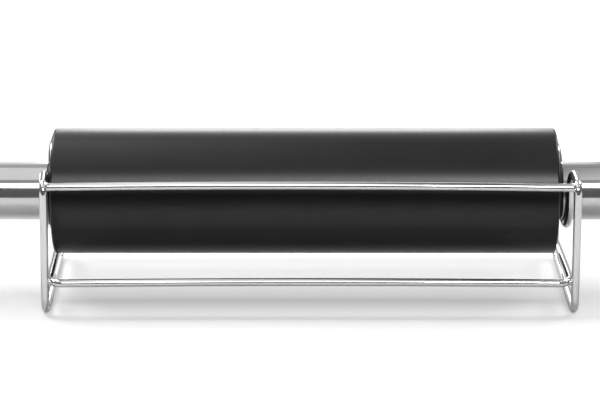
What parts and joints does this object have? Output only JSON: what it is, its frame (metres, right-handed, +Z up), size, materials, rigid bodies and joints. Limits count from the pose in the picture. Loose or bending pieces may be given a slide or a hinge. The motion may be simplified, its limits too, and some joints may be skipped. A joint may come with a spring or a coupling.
{
  "type": "rolling pin",
  "caption": "Rolling pin with a black coated barrel turning on ball bearings between tubular steel handles, resting in the cradles of a welded chrome wire stand.",
  "frame": {"origin": "on the table, under the middle of the rolling pin", "axes": "+X along the pin towards the right handle, +Y to the rear of the stand, +Z up"},
  "size_m": [0.4742, 0.0966, 0.0831],
  "materials": {
    "barrel_coating": "semi-matte black non-stick coating on steel",
    "satin_steel": "satin-polished stainless steel with fine brush lines along the tube",
    "chrome_wire": "bright chrome plate on welded steel wire",
    "bearing_steel": "ground bearing steel",
    "black_nylon": "moulded black nylon",
    "pale_nylon": "natural moulded nylon"
  },
  "bodies": {
    "stand": {"left_end_frame": "chrome_wire", "right_end_frame": "chrome_wire", "base_ring": "chrome_wire", "front_top_rail": "chrome_wire", "rear_top_rail": "chrome_wire"},
    "pin_core": {"axle_rod": "bearing_steel", "left_handle_tube": "satin_steel", "left_handle_core": "pale_nylon", "left_handle_cap": "satin_steel", "left_spacer_collar": "black_nylon", "left_bearing_inner_race": "bearing_steel", "left_axle_circlip": "bearing_steel", "left_axle_washer": "bearing_steel", "left_axle_nut": "bearing_steel", "right_handle_tube": "satin_steel", "right_handle_core": "pale_nylon", "right_handle_cap": "satin_steel", "right_spacer_collar": "black_nylon", "right_bearing_inner_race": "bearing_steel", "right_axle_circlip": "bearing_steel", "right_axle_washer": "bearing_steel", "right_axle_nut": "bearing_steel"},
    "barrel": {"barrel_shell": "barrel_coating", "left_end_plug": "black_nylon", "right_end_plug": "black_nylon", "left_bearing_outer_race": "bearing_steel", "right_bearing_outer_race": "bearing_steel"},
    "left_cage": {"left_ball_cage": "pale_nylon", "left_ball_1": "bearing_steel", "left_ball_2": "bearing_steel", "left_ball_3": "bearing_steel", "left_ball_4": "bearing_steel", "left_ball_5": "bearing_steel", "left_ball_6": "bearing_steel", "left_ball_7": "bearing_steel"},
    "right_cage": {"right_ball_cage": "pale_nylon", "right_ball_1": "bearing_steel", "right_ball_2": "bearing_steel", "right_ball_3": "bearing_steel", "right_ball_4": "bearing_steel", "right_ball_5": "bearing_steel", "right_ball_6": "bearing_steel", "right_ball_7": "bearing_steel"}
  },
  "joints": [
    {"name": "pin_lift", "type": "slide", "parent": "stand", "child": "pin_core", "axis": [0, 0, 1], "range_m": [0, 0.12]},
    {"name": "barrel_spin", "type": "hinge", "parent": "pin_core", "child": "barrel", "pos_m": [0, 0, 0.0514], "axis": [1, 0, 0], "continuous": true},
    {"name": "left_cage_spin", "type": "hinge", "parent": "pin_core", "child": "left_cage", "pos_m": [-0.1225, 0, 0.0514], "axis": [1, 0, 0], "continuous": true},
    {"name": "right_cage_spin", "type": "hinge", "parent": "pin_core", "child": "right_cage", "pos_m": [0.1225, 0, 0.0514], "axis": [1, 0, 0], "continuous": true}
  ],
  "couplings": [
    {"joint": "left_cage_spin", "follows": "barrel_spin", "ratio": 0.631},
    {"joint": "right_cage_spin", "follows": "barrel_spin", "ratio": 0.631}
  ]
}
